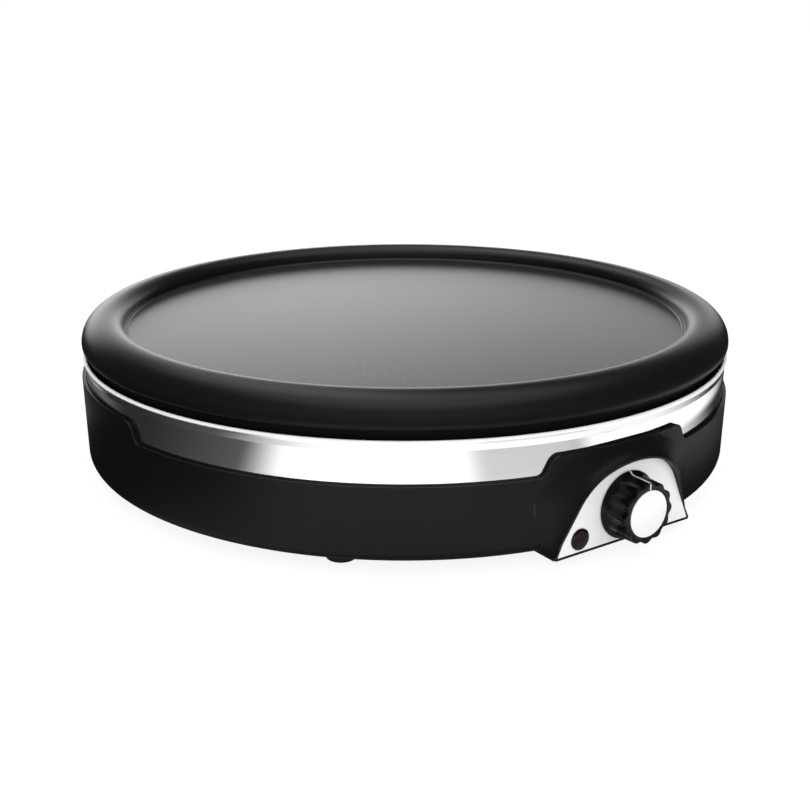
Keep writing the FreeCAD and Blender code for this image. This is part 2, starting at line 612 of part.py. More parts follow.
def thermostat_body():
    """Capillary thermostat: a mounting plate, a steel can, a bellows cup and four spade terminals."""
    back = PANEL_BACK_Y
    plate = block((-14, 14), (back + 0.1, back + 1.3), (KNOB_Z - 10, KNOB_Z + 10))
    can = block((-13, 13), (back + 1.3, back + 19), (KNOB_Z - 12.5, KNOB_Z + 12.5))
    cup = Part.makeCylinder(9.5, 4.0, V(0, back + 19, KNOB_Z), V(0, 1, 0))
    shape = fused([plate, can, cup])
    for x in (-8, 8):
        for z in (KNOB_Z - 8, KNOB_Z + 8):
            shape = shape.fuse(block((x - 0.4, x + 0.4), (back + 19, back + 27), (z - 3.1, z + 3.1)))
    shape = shape.cut(Part.makeCylinder(SHAFT_RADIUS + 0.05, 6.0, V(0, back - 1, KNOB_Z), V(0, 1, 0)))
    for x in (-10, 10):
        shape = shape.cut(Part.makeCylinder(1.3, 6.0, V(x, back - 1, KNOB_Z), V(0, 1, 0)))
    return shape.removeSplitter()


def thermostat_screws():
    """Two flat-headed screws through the panel, hidden under the fascia."""
    front = FASCIA_FACE_Y + FASCIA_THICKNESS
    screws = []
    for x in (-10, 10):
        shank = Part.makeCylinder(1.25, 6.2, V(x, front + 0.1, KNOB_Z), V(0, 1, 0))
        head = Part.makeCylinder(1.68, 1.2, V(x, front + 0.1, KNOB_Z), V(0, 1, 0))
        screws.append(shank.fuse(head).removeSplitter())
    return Part.makeCompound(screws)


def sensor_bulb():
    """The thermostat's liquid bulb, clamped against the griddle's underside."""
    z = SURFACE_Z - PLATE_THICKNESS - 2.55
    return Part.makeCylinder(2.5, 56.0, V(-28, -60, z), V(1, 0, 0))


def capillary_tube():
    """Fine tube from the bulb, down through the shield, to the thermostat's cup."""
    bulb_z = SURFACE_Z - PLATE_THICKNESS - 2.55
    cup_y = PANEL_BACK_Y + 23.0
    route = [(V(28, -60, bulb_z), 0), (V(32, -60, bulb_z), 3.0), (V(32, -60, 40), 8.0),
             (V(0, -100, 40), 10.0), (V(0, -125, KNOB_Z), 8.0), (V(0, cup_y, KNOB_Z), 0)]
    return piped(rounded_wire(route, closed=False), 0.8)


def sensor_clamp():
    """Spring-steel strap with a screw each side that holds the bulb to the plate."""
    top = SURFACE_Z - PLATE_THICKNESS - CLAMP_DROP
    strap = block((-4, 4), (-71, -49), (top - 0.7, top))
    for y in CLAMP_SCREW_YS:
        strap = strap.cut(post(1.4, top - 2, top + 1, V(0, y, 0)))
    return strap


def clamp_screws():
    seat = SURFACE_Z - PLATE_THICKNESS - CLAMP_DROP - 0.7
    screws = []
    for y in CLAMP_SCREW_YS:
        centre = V(0, y, 0)
        shank = post(1.25, seat, seat + 5.0, centre)
        head = post(2.6, seat - 1.6, seat, centre)
        screws.append(shank.fuse(head).removeSplitter())
    return Part.makeCompound(screws)


def thermal_fuse():
    """One-shot cut-out: a small metal case with a lead at each end."""
    case = Part.makeCylinder(2.0, 12.0, V(44, -98, SHIELD_Z - 2.6), V(1, 0, 0))
    wire = Part.makeCylinder(0.5, 22.0, V(39, -98, SHIELD_Z - 2.6), V(1, 0, 0))
    return case.fuse(wire).removeSplitter()


def fuse_clip():
    """Steel strap spot-welded under the shield that holds the cut-out against it."""
    z = SHIELD_Z - 2.6
    saddle = block((47, 53), (-101.5, -94.5), (z - 2.6, SHIELD_Z))
    saddle = saddle.cut(Part.makeCylinder(2.05, 10.0, V(45, -98, z), V(1, 0, 0)))
    saddle = saddle.cut(block((46, 54), (-100.9, -95.1), (z, SHIELD_Z + 1)))
    ear = block((47, 53), (-94.6, -86), (SHIELD_Z - 0.6, SHIELD_Z))
    return saddle.fuse(ear).removeSplitter()


def terminal_block():
    """Three-way ceramic block on two posts by the gland."""
    body = block((-15, 15), (109, 127), (12.0, 22.0))
    for x in BLOCK_WAYS_X:
        body = body.cut(Part.makeCylinder(1.6, 20.0, V(x, 108, 17.0), V(0, 1, 0)))
        body = body.cut(post(1.9, 17.0, 23.0, V(x, 113, 0)))
        body = body.cut(post(1.9, 17.0, 23.0, V(x, 123, 0)))
    for x in BLOCK_SCREWS_X:
        body = body.cut(post(1.3, 11.0, 23.0, V(x, 118, 0)))
    return body.removeSplitter()


def terminal_screws():
    """Six grub screws that pinch the wires in the block."""
    screws = []
    for x in BLOCK_WAYS_X:
        for y in (113, 123):
            screw = post(1.85, 18.15, 21.6, V(x, y, 0))
            screws.append(screw.cut(block((x - 3, x + 3), (y - 0.3, y + 0.3), (20.8, 22))))
    return Part.makeCompound(screws)


def block_screws():
    seat = 22.0
    screws = []
    for x in BLOCK_SCREWS_X:
        centre = V(x, 118, 0)
        shank = post(1.2, FLOOR_TOP_Z + 1.5, seat, centre)
        head = post(2.4, seat, seat + 1.6, centre)
        screws.append(shank.fuse(head).removeSplitter())
    return Part.makeCompound(screws)


def cord_gland():
    """Nylon bush in the rear wall: a flange outside, a groove over the wall and an open bore."""
    inner_y = 154.0
    wall_y = GLAND_LAND_Y - 4.4
    return turned_on_panel([
        (GLAND_BORE_RADIUS, inner_y), (7.2, inner_y, 0.8), (7.2, wall_y), (6.0, wall_y),
        (6.0, GLAND_LAND_Y), (8.5, GLAND_LAND_Y), (8.5, GLAND_FACE_Y, 0.8),
        (GLAND_BORE_RADIUS, GLAND_FACE_Y)], 0, GLAND_Z)


def lead(route):
    """An insulated wire through (x, y, z, bend radius) corners."""
    corners = [(V(x, y, z), bend) for x, y, z, bend in route]
    return piped(rounded_wire(corners, closed=False), LEAD_RADIUS)


def live_lead():
    """From the block to the thermostat."""
    spade_y = PANEL_BACK_Y + 27.0
    return lead([(0, 116, 17, 0), (0, 96, 17, 8), (-40, 60, 8.2, 12), (-40, -60, 8.2, 12),
                 (-8, -118, 13, 6), (-8, spade_y, 13, 0)])


def load_lead():
    """From the thermostat to the cut-out."""
    spade_y = PANEL_BACK_Y + 27.0
    return lead([(8, spade_y, 29, 0), (8, -124, 29, 5), (24, -110, 36, 5), (32, -98, SHIELD_Z - 2.6, 3),
                 (39, -98, SHIELD_Z - 2.6, 0)])


def fuse_lead():
    """From the cut-out up to the element's pin."""
    return lead([(61, -98, SHIELD_Z - 2.6, 0), (68, -98, SHIELD_Z - 2.6, 4), (68, -126, SHIELD_Z - 4, 6),
                 (ELEMENT_END_X, PIN_Y, SHIELD_Z - 3, 4), (ELEMENT_END_X, PIN_Y, ELEMENT_Z - 1.2, 0)])


def neutral_lead():
    """From the block to the element's other pin."""
    return lead([(-9, 116, 17, 0), (-9, 92, 17, 8), (-55, 50, 8.2, 12), (-55, -100, 8.2, 12),
                 (-ELEMENT_END_X, -130.0, 36, 6), (-ELEMENT_END_X, PIN_Y, 46, 3),
                 (-ELEMENT_END_X, PIN_Y, ELEMENT_Z - 1.2, 0)])


def earth_lead():
    """From the block to the screw on the shield."""
    return lead([(9, 116, 17, 0), (9, 98, 17, 8), (EARTH_X, 76, 22, 12), (EARTH_X, 40, 43.8, 8),
                 (EARTH_X, 23.65, 43.8, 0)])


def lamp_leads():
    """The pair between the lamp and the thermostat's spades."""
    wires = []
    lamp_y = FASCIA_FACE_Y + 14.5
    spade_x = -8.4
    for side, z in ((-1, 13.0), (1, 29.0)):
        x = LAMP_X + side * 1.2
        route = [(V(x, lamp_y, LAMP_Z), 0), (V(x, lamp_y + 8, LAMP_Z), 3),
                 (V(-17, -142, z), 3), (V(spade_x, -142, z), 0)]
        wires.append(piped(rounded_wire(route, closed=False), 0.7))
    return Part.makeCompound(wires)


def earth_screw():
    """Screw and nut that earth the shield."""
    centre = V(EARTH_X, 20, 0)
    shank = post(1.9, SHIELD_Z - 6.0, SHIELD_Z + 2.2, centre)
    head = post(3.5, SHIELD_Z + SHIELD_THICKNESS, SHIELD_Z + 2.6, centre)
    nut = post(3.6, SHIELD_Z - 4.2, SHIELD_Z - 0.1, centre)
    return fused([shank, head, nut])


NODES = {
    "griddle_plate": griddle_plate,
    "heating_element": heating_element,
    "element_terminals": element_terminals,
    "heat_shield": heat_shield,
    "shield_spacers": shield_spacers,
    "steel_band": steel_band,
    "base_casing": base_casing,
    "plate_screws": plate_screws,
    "band_screws": band_screws,
    "control_fascia": control_fascia,
    "indicator_lens": indicator_lens,
    "neon_lamp": neon_lamp,
    "thermostat_knob": thermostat_knob,
    "knob_cap": knob_cap,
    "thermostat_shaft": thermostat_shaft,
    "thermostat_body": thermostat_body,
    "thermostat_screws": thermostat_screws,
    "sensor_bulb": sensor_bulb,
    "capillary_tube": capillary_tube,
    "sensor_clamp": sensor_clamp,
    "clamp_screws": clamp_screws,
    "thermal_fuse": thermal_fuse,
    "fuse_clip": fuse_clip,
    "terminal_block": terminal_block,
    "terminal_screws": terminal_screws,
    "block_screws": block_screws,
    "cord_gland": cord_gland,
    "live_lead": live_lead,
    "load_lead": load_lead,
    "fuse_lead": fuse_lead,
    "neutral_lead": neutral_lead,
    "earth_lead": earth_lead,
    "lamp_leads": lamp_leads,
    "earth_screw": earth_screw,
}
FEET = {"front_right": 45, "rear_right": 135, "rear_left": 225, "front_left": 315}


def export(name, shape):
    shape.translate(V(0, AXIS_SHIFT_Y, 0))
    shape.exportStep("parts/" + name + ".step")
    box = shape.BoundBox
    print(f"{name}: solids {len(shape.Solids)} valid {shape.isValid()} volume {shape.Volume:.0f} "
          f"y {box.YMin:.1f}..{box.YMax:.1f} z {box.ZMin:.1f}..{box.ZMax:.1f}")


os.makedirs("parts", exist_ok=True)
for name, build in NODES.items():
    export(name, build())
for corner, bearing in FEET.items():
    export("foot_" + corner, foot(bearing))
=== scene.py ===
import bmesh
import bpy
import math
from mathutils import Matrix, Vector


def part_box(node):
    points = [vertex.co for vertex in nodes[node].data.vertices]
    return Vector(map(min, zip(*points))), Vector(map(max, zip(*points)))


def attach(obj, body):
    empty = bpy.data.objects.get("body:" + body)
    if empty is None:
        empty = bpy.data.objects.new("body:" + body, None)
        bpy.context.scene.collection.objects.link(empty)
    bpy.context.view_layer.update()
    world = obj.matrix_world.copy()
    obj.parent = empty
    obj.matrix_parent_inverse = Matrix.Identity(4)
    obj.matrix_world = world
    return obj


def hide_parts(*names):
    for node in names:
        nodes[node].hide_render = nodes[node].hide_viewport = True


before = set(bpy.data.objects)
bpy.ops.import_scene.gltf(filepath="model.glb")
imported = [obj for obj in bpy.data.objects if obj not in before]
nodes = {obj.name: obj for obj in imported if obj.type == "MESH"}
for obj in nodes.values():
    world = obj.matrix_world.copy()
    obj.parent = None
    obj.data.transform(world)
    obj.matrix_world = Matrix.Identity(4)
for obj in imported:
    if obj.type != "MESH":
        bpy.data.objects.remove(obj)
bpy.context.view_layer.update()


# Griddle: one die-cast aluminium plate with a bulged rim, sprayed and baked with a black
# non-stick coating. The sprayed film gives a satin sheen with tiny pale flecks on the flat.
def srgb(code):
    """A '#rrggbb' colour as linear red, green, blue and alpha."""
    parts = [int(code[i:i + 2], 16) / 255 for i in (1, 3, 5)]
    return [p / 12.92 if p <= 0.04045 else ((p + 0.055) / 1.055) ** 2.4 for p in parts] + [1.0]


def add_node(tree, kind, links=None, **settings):
    """Adds a node. links gives each input a number, a colour or another node's output."""
    made = tree.nodes.new(kind)
    for name, value in settings.items():
        setattr(made, name, value)
    for name, value in (links or {}).items():
        if isinstance(value, bpy.types.NodeSocket):
            tree.links.new(value, made.inputs[name])
        else:
            made.inputs[name].default_value = value
    return made


def new_finish(name):
    """An empty material with its node tree, shader and object coordinates."""
    finish = bpy.data.materials.new(name)
    finish.use_nodes = True
    tree = finish.node_tree
    tree.nodes.clear()
    shader = add_node(tree, "ShaderNodeBsdfPrincipled")
    add_node(tree, "ShaderNodeOutputMaterial", {"Surface": shader.outputs["BSDF"]})
    place = add_node(tree, "ShaderNodeTexCoord").outputs["Object"]
    return finish, tree, shader, place


plate_low, plate_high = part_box("griddle_plate")
axis_y = (plate_low[1] + plate_high[1]) / 2
rim_radius = (plate_high[0] - plate_low[0]) / 2
crest_z = plate_high[2]
recess_depth = 0.0079
surface_z = crest_z - recess_depth
surface_radius = 0.142


def turning_tree():
    """Node tree that turns a profile, drawn as (radius, -height), about the griddle's axis."""
    tree = bpy.data.node_groups.new("turned_about_the_axis", "GeometryNodeTree")
    sockets = tree.interface
    sockets.new_socket("Geometry", in_out="INPUT", socket_type="NodeSocketGeometry")
    sockets.new_socket("Mean Radius", in_out="INPUT", socket_type="NodeSocketFloat")
    sockets.new_socket("Steps Round", in_out="INPUT", socket_type="NodeSocketInt")
    sockets.new_socket("Finish", in_out="INPUT", socket_type="NodeSocketMaterial")
    sockets.new_socket("Geometry", in_out="OUTPUT", socket_type="NodeSocketGeometry")
    given = add_node(tree, "NodeGroupInput").outputs
    profile = add_node(tree, "GeometryNodeMeshToCurve", {"Mesh": given["Geometry"]})
    path = add_node(tree, "GeometryNodeCurvePrimitiveCircle",
                    {"Resolution": given["Steps Round"], "Radius": given["Mean Radius"]})
    skin = add_node(tree, "GeometryNodeCurveToMesh",
                    {"Curve": path.outputs["Curve"], "Profile Curve": profile.outputs["Curve"]})
    closed = add_node(tree, "GeometryNodeMergeByDistance",
                      {"Geometry": skin.outputs["Mesh"], "Distance": 0.000002})
    moved = add_node(tree, "GeometryNodeTransform",
                     {"Geometry": closed.outputs["Geometry"], "Translation": (0, axis_y, 0)})
    real = add_node(tree, "GeometryNodeRealizeInstances", {"Geometry": moved.outputs["Geometry"]})
    finished = add_node(tree, "GeometryNodeSetMaterial",
                        {"Geometry": real.outputs["Geometry"], "Material": given["Finish"]})
    add_node(tree, "NodeGroupOutput", {"Geometry": finished.outputs["Geometry"]})
    return tree


def run_tree(name, start, tree, **inputs):
    """A plain mesh object: the start mesh after the node tree, with its modifier gone."""
    piece = bpy.data.objects.new(name, start)
    bpy.context.scene.collection.objects.link(piece)
    modifier = piece.modifiers.new(name, "NODES")
    modifier.node_group = tree
    for socket in tree.interface.items_tree:
        wanted = socket.name.replace(" ", "_").lower()
        if socket.in_out == "INPUT" and wanted in inputs:
            modifier[socket.identifier] = inputs[wanted]
    graph = bpy.context.evaluated_depsgraph_get()
    result = bpy.data.meshes.new_from_object(piece.evaluated_get(graph))
    piece.modifiers.remove(modifier)
    piece.data = result
    return piece


def smooth(piece, degrees=32):
    """Smooth shading that stays crisp where faces meet at more than this angle."""
    piece.data.shade_smooth()
    piece.data.set_sharp_from_angle(angle=math.radians(degrees))


def turned_piece(name, profile, finish, steps=360):
    """A ring or disc about the griddle's axis, from (radius, height) points."""
    mean = sum(r for r, z in profile) / len(profile)
    drawn = [(r - mean, -z, 0) for r, z in profile]
    line = [(i, i + 1) for i in range(len(drawn) - 1)]
    start = bpy.data.meshes.new(name)
    start.from_pydata(drawn, line, [])
    piece = run_tree(name, start, about_axis, mean_radius=mean, steps_round=steps, finish=finish)
    smooth(piece)
    return piece


def bend(centre_r, centre_z, reach_r, reach_z, first, last, steps=14):
    """Points along part of an ellipse in a profile, between two angles in degrees."""
    turn = [math.radians(first + (last - first) * i / steps) for i in range(steps + 1)]
    return [(centre_r + reach_r * math.cos(a), centre_z + reach_z * math.sin(a)) for a in turn]


about_axis = turning_tree()

# Baked PTFE film: black binder with mica flecks. It is satin and slightly orange-peeled. The flat is
# smoother than the rim, and it is painted a lighter grey than the rim, a painted sheen.
coating, tree, shader, place = new_finish("baked_ptfe_coating")
around = add_node(tree, "ShaderNodeMapping", {"Vector": place, "Location": (0, -axis_y, 0)})
flat_place = add_node(tree, "ShaderNodeVectorMath",
                      {0: around.outputs["Vector"], 1: (1, 1, 0)}, operation="MULTIPLY")
from_axis = add_node(tree, "ShaderNodeVectorMath", {0: flat_place.outputs["Vector"]}, operation="LENGTH")
flat_limit = surface_radius + 0.0004
flat_fade = 0.0005
on_flat = add_node(tree, "ShaderNodeMapRange",
                   {"Value": from_axis.outputs["Value"], "From Min": flat_limit,
                    "From Max": flat_limit - flat_fade})
# The flecks are drawn larger than real, or they wouldn't show.
fleck_size = 0.0011
flecks = add_node(tree, "ShaderNodeTexNoise",
                  {"Vector": place, "Scale": 1 / fleck_size, "Detail": 1.0, "Roughness": 0.5})
fleck_mask = add_node(tree, "ShaderNodeMapRange",
                      {"Value": flecks.outputs["Fac"], "From Min": 0.62, "From Max": 0.74})
fleck_share = add_node(tree, "ShaderNodeMath",
                       {0: fleck_mask.outputs["Result"], 1: on_flat.outputs["Result"]}, operation="MULTIPLY")
# The flat's lighter grey is a painted sheen. The rim keeps the coating's own black.
flat_painted_sheen_ground = add_node(tree, "ShaderNodeMix",
                  {"Factor": on_flat.outputs["Result"], 6: srgb("#0f0f10"), 7: srgb("#262627")},
                  data_type="RGBA")
flecked = add_node(tree, "ShaderNodeMix",
                   {"Factor": fleck_share.outputs["Value"], 6: flat_painted_sheen_ground.outputs[2], 7: srgb("#5a5b5b")},
                   data_type="RGBA")
tree.links.new(flecked.outputs[2], shader.inputs["Base Color"])
sheen = add_node(tree, "ShaderNodeMapRange",
                 {"Value": on_flat.outputs["Result"], "To Min": 0.34, "To Max": 0.27})
tree.links.new(sheen.outputs["Result"], shader.inputs["Roughness"])
peel_size = 0.0016
peel = add_node(tree, "ShaderNodeTexNoise", {"Vector": place, "Scale": 1 / peel_size, "Detail": 2.0})
peel_bump = add_node(tree, "ShaderNodeBump",
                     {"Height": peel.outputs["Fac"], "Strength": 0.12, "Distance": 0.0001})
tree.links.new(peel_bump.outputs["Normal"], shader.inputs["Normal"])
shader.inputs["IOR"].default_value = 1.38
# Below the bulge the reflection is turned down to almost none, which paints shade under the bulge.
height_parts = add_node(tree, "ShaderNodeSeparateXYZ", {"Vector": place}).outputs
shade_under_bulge_z = surface_z - 0.0062
shade_under_bulge = add_node(tree, "ShaderNodeMapRange",
                  {"Value": height_parts["Z"], "From Min": shade_under_bulge_z, "From Max": surface_z,
                   "To Min": 0.05, "To Max": 0.5})
tree.links.new(shade_under_bulge.outputs["Result"], shader.inputs["Specular IOR Level"])

# The plate's profile runs out along the flat, up the ledge and over the bulge, round the lip,
# down the neck, and back through the hollow under the bulge to the underside.
crest_radius = 0.1518
ledge_radius = 0.1436
ledge_z = surface_z + 0.0008
step_rise = 0.0005
ledge_lead = 0.0004
equator_z = surface_z - 0.004
lip_r = 0.0024
lip_z = 0.0027
neck_radius = 0.1614
neck_wall = 0.0028
neck_inner = neck_radius - neck_wall
below_neck = 0.0045
neck_foot_z = plate_low[2] + below_neck
hollow_radius = 0.1472
hollow_z = 0.066
rim_wall = 0.0034
hollow_rise = crest_z - rim_wall - hollow_z
flat_wall = 0.005
underside_z = surface_z - flat_wall
flat_rings = (0.0, 0.07, 0.12, surface_radius)
griddle_profile = [(radius, surface_z) for radius in flat_rings]
griddle_profile += [(surface_radius + step_rise, surface_z + step_rise),
                    (ledge_radius - ledge_lead, surface_z + step_rise)]
griddle_profile += bend(crest_radius, ledge_z, crest_radius - ledge_radius, crest_z - ledge_z, 180, 90, 20)
griddle_profile += bend(crest_radius, equator_z, rim_radius - crest_radius, crest_z - equator_z,
                        90, 0, 26)[1:]
griddle_profile += bend(rim_radius - lip_r, equator_z, lip_r, lip_z, 0, -90, 8)[1:]
griddle_profile += [(neck_radius, equator_z - lip_z), (neck_radius, neck_foot_z), (neck_inner, neck_foot_z),
                    (neck_inner, hollow_z)]
griddle_profile += bend(crest_radius, hollow_z, neck_inner - crest_radius, hollow_rise, 0, 90)[1:]
griddle_profile += bend(crest_radius, hollow_z, crest_radius - hollow_radius, hollow_rise, 90, 180)[1:]
griddle_profile += [(hollow_radius, underside_z), (0.0, underside_z)]
griddle = turned_piece("griddle", griddle_profile, coating)
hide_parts("griddle_plate")
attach(griddle, "base")


# Band: a strip of bright-annealed stainless steel, rolled into a ring. Its top edge is curled
# over into a bead, a narrow facet leans out below it, and the wall runs down into the casing.
band_low, band_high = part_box("steel_band")
band_radius = 0.164
band_wall = 0.0006
bead_radius = 0.0009
bead_centre = band_high[0] - bead_radius
bead_z = band_high[2] - bead_radius
facet_height = 0.0049
facet_z = band_high[2] - facet_height
band_foot_z = band_low[2]

# Bright stainless: an almost mirror-like strip with the faint lines of the rolling mill
# running round it. The lines are drawn coarser than real, or they wouldn't show.
stainless, tree, shader, place = new_finish("bright_annealed_stainless")
line_pitch = 0.0006
line_stretch = 0.012
along_band = add_node(tree, "ShaderNodeMapping",
                      {"Vector": place, "Scale": (line_stretch, line_stretch, 1)})
mill_lines = add_node(tree, "ShaderNodeTexNoise",
                      {"Vector": along_band.outputs["Vector"], "Scale": 1 / line_pitch, "Detail": 3.0})
mill_bump = add_node(tree, "ShaderNodeBump",
                     {"Height": mill_lines.outputs["Fac"], "Strength": 0.05, "Distance": 0.00004})
tree.links.new(mill_bump.outputs["Normal"], shader.inputs["Normal"])
rubbed = add_node(tree, "ShaderNodeMapRange",
                  {"Value": mill_lines.outputs["Fac"], "To Min": 0.07, "To Max": 0.12})
# The curled edge is painted a soft white and made rougher and less metallic: a painted highlight.
bead_highlight_fade = 0.0007
heights = add_node(tree, "ShaderNodeSeparateXYZ", {"Vector": place}).outputs
bead_highlight_mask = add_node(tree, "ShaderNodeMapRange",
                   {"Value": heights["Z"], "From Min": bead_z - bead_highlight_fade,
                    "From Max": bead_z}).outputs["Result"]
shine = add_node(tree, "ShaderNodeMix", {"Factor": bead_highlight_mask, 2: rubbed.outputs["Result"], 3: 0.4})
tree.links.new(shine.outputs[0], shader.inputs["Roughness"])
# The bead's near-white is a painted highlight. The rest of the band keeps the steel's colour.
steel_and_bead_highlight_colour = add_node(tree, "ShaderNodeMix",
                        {"Factor": bead_highlight_mask, 6: srgb("#e4e4e2"), 7: srgb("#fdfdfc")}, data_type="RGBA")
tree.links.new(steel_and_bead_highlight_colour.outputs[2], shader.inputs["Base Color"])
bead_highlight_metallic = add_node(tree, "ShaderNodeMapRange", {"Value": bead_highlight_mask, "To Min": 1.0, "To Max": 0.1})
tree.links.new(bead_highlight_metallic.outputs["Result"], shader.inputs["Metallic"])

bead_inner = bead_radius - band_wall
curl_foot_z = bead_z - 0.0012
facet_lean = (band_high[0] - band_radius) / (bead_z - facet_z)
# Two points close to the facet's foot keep its shading apart from the wall's.
crisp = 0.0002
band_profile = [(band_radius - band_wall, band_foot_z), (band_radius - band_wall, facet_z),
                (bead_centre + bead_inner, bead_z)]
band_profile += bend(bead_centre, bead_z, bead_inner, bead_inner, 0, 180, 8)[1:]
band_profile += [(bead_centre - bead_inner, curl_foot_z), (bead_centre - bead_radius, curl_foot_z)]
band_profile += bend(bead_centre, bead_z, bead_radius, bead_radius, 180, 0, 18)
band_profile += [(band_radius + facet_lean * crisp, facet_z + crisp), (band_radius, facet_z),
                 (band_radius, facet_z - crisp), (band_radius, band_foot_z),
                 (band_radius - band_wall, band_foot_z)]
band = turned_piece("bright_band", band_profile, stainless)
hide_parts("steel_band")
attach(band, "base")


# Casing: one injection moulding in black ABS, with a stepped sill and the swelling that
# carries the panel. The mould is finely spark-eroded, which gives an even satin grain.
def smoothing_tree():
    """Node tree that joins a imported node's loose triangles and shades its round stretches smooth."""
    tree = bpy.data.node_groups.new("joined_and_smooth", "GeometryNodeTree")
    sockets = tree.interface
    sockets.new_socket("Geometry", in_out="INPUT", socket_type="NodeSocketGeometry")
    sockets.new_socket("Crease Angle", in_out="INPUT", socket_type="NodeSocketFloat")
    sockets.new_socket("Geometry", in_out="OUTPUT", socket_type="NodeSocketGeometry")
    given = add_node(tree, "NodeGroupInput").outputs
    joined = add_node(tree, "GeometryNodeMergeByDistance",
                      {"Geometry": given["Geometry"], "Distance": 0.000001})
    faces = add_node(tree, "GeometryNodeSetShadeSmooth",
                     {"Geometry": joined.outputs["Geometry"], "Shade Smooth": True}, domain="FACE")
    turn = add_node(tree, "GeometryNodeInputMeshEdgeAngle")
    gentle = add_node(tree, "FunctionNodeCompare",
                      {0: turn.outputs["Unsigned Angle"], 1: given["Crease Angle"]}, operation="LESS_THAN")
    edges = add_node(tree, "GeometryNodeSetShadeSmooth",
                     {"Geometry": faces.outputs["Geometry"], "Shade Smooth": gentle.outputs["Result"]},
                     domain="EDGE")
    add_node(tree, "NodeGroupOutput", {"Geometry": edges.outputs["Geometry"]})
    return tree


joined_and_smooth = smoothing_tree()
crease_socket = joined_and_smooth.interface.items_tree["Crease Angle"].identifier


def dress(name, finish, crease=28):
    """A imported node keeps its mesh, and gets a finish and smooth shading."""
    piece = nodes[name]
    piece.data.materials.clear()
    piece.data.materials.append(finish)
    modifier = piece.modifiers.new("joined_and_smooth", "NODES")
    modifier.node_group = joined_and_smooth
    modifier[crease_socket] = math.radians(crease)


# Black ABS with a fine eroded grain: it blurs reflections into a soft even sheen. The grain
# is drawn coarser than real, or it wouldn't show.
casing_abs, tree, shader, place = new_finish("grained_black_abs")
grain_size = 0.0006
grain = add_node(tree, "ShaderNodeTexNoise", {"Vector": place, "Scale": 1 / grain_size, "Detail": 2.0})
edge_round = 0.0005
soft_edge = add_node(tree, "ShaderNodeBevel", {"Radius": edge_round}, samples=6)
grain_bump = add_node(tree, "ShaderNodeBump",
                      {"Height": grain.outputs["Fac"], "Strength": 0.15, "Distance": 0.00006,
                       "Normal": soft_edge.outputs["Normal"]})
tree.links.new(grain_bump.outputs["Normal"], shader.inputs["Normal"])
handled_patch = 0.0555
handled = add_node(tree, "ShaderNodeTexNoise", {"Vector": place, "Scale": 1 / handled_patch, "Detail": 2.0})
sheen = add_node(tree, "ShaderNodeMapRange",
                 {"Value": handled.outputs["Fac"], "To Min": 0.38, "To Max": 0.46})
# Along its edges the finish is glossier and painted paler, a painted highlight, so they show as fine
# light lines. The highlight starts and is full where the rounded edge has turned this far, in degrees, from
# the face.
edge_highlight_start = 15.2
edge_highlight_full = 30.7
flat_normal = add_node(tree, "ShaderNodeNewGeometry").outputs["Normal"]
edge_turn = add_node(tree, "ShaderNodeVectorMath",
                     {0: soft_edge.outputs["Normal"], 1: flat_normal}, operation="DOT_PRODUCT")
edge_highlight_mask = add_node(tree, "ShaderNodeMapRange",
                {"Value": edge_turn.outputs["Value"], "From Min": math.cos(math.radians(edge_highlight_start)),
                 "From Max": math.cos(math.radians(edge_highlight_full))}).outputs["Result"]
edge_highlight_roughness = add_node(tree, "ShaderNodeMix", {"Factor": edge_highlight_mask, 2: sheen.outputs["Result"], 3: 0.22})
tree.links.new(edge_highlight_roughness.outputs[0], shader.inputs["Roughness"])
edge_highlight_gloss = add_node(tree, "ShaderNodeMapRange", {"Value": edge_highlight_mask, "To Min": 0.18, "To Max": 1.0})
tree.links.new(edge_highlight_gloss.outputs["Result"], shader.inputs["Specular IOR Level"])
# The paler colour at the edges is a painted highlight.
painted_edge_highlight_colour = add_node(tree, "ShaderNodeMix", {"Factor": edge_highlight_mask, 6: srgb("#0d0d0d"), 7: srgb("#363636")},
                       data_type="RGBA")
tree.links.new(painted_edge_highlight_colour.outputs[2], shader.inputs["Base Color"])
shader.inputs["IOR"].default_value = 1.5
dress("base_casing", casing_abs)


# Fascia: a stamped aluminium plate, sprayed with white-silver lacquer and glued into the
# recess of the panel.
def mottled_finish(name, dark, light, mottle_size, surface, detail=3.0):
    """A finish whose colour drifts between two shades. surface gives the shader's other inputs."""
    finish, tree, shader, place = new_finish(name)
    mottle = add_node(tree, "ShaderNodeTexNoise",
                      {"Vector": place, "Scale": 1 / mottle_size, "Detail": detail})
    drift = add_node(tree, "ShaderNodeMix",
                     {"Factor": mottle.outputs["Fac"], 6: srgb(dark), 7: srgb(light)}, data_type="RGBA")
    tree.links.new(drift.outputs[2], shader.inputs["Base Color"])
    for socket, value in surface.items():
        shader.inputs[socket].default_value = value
    return finish


# White-silver lacquer: nearly white and satin. Its metal flakes are drawn coarser than real, or
# they wouldn't show.
flake_size = 0.0004
lacquer = mottled_finish("white_silver_lacquer", "#f7f7f7", "#fdfdfd", flake_size,
                         {"Roughness": 0.3}, detail=1.0)
dress("control_fascia", lacquer)


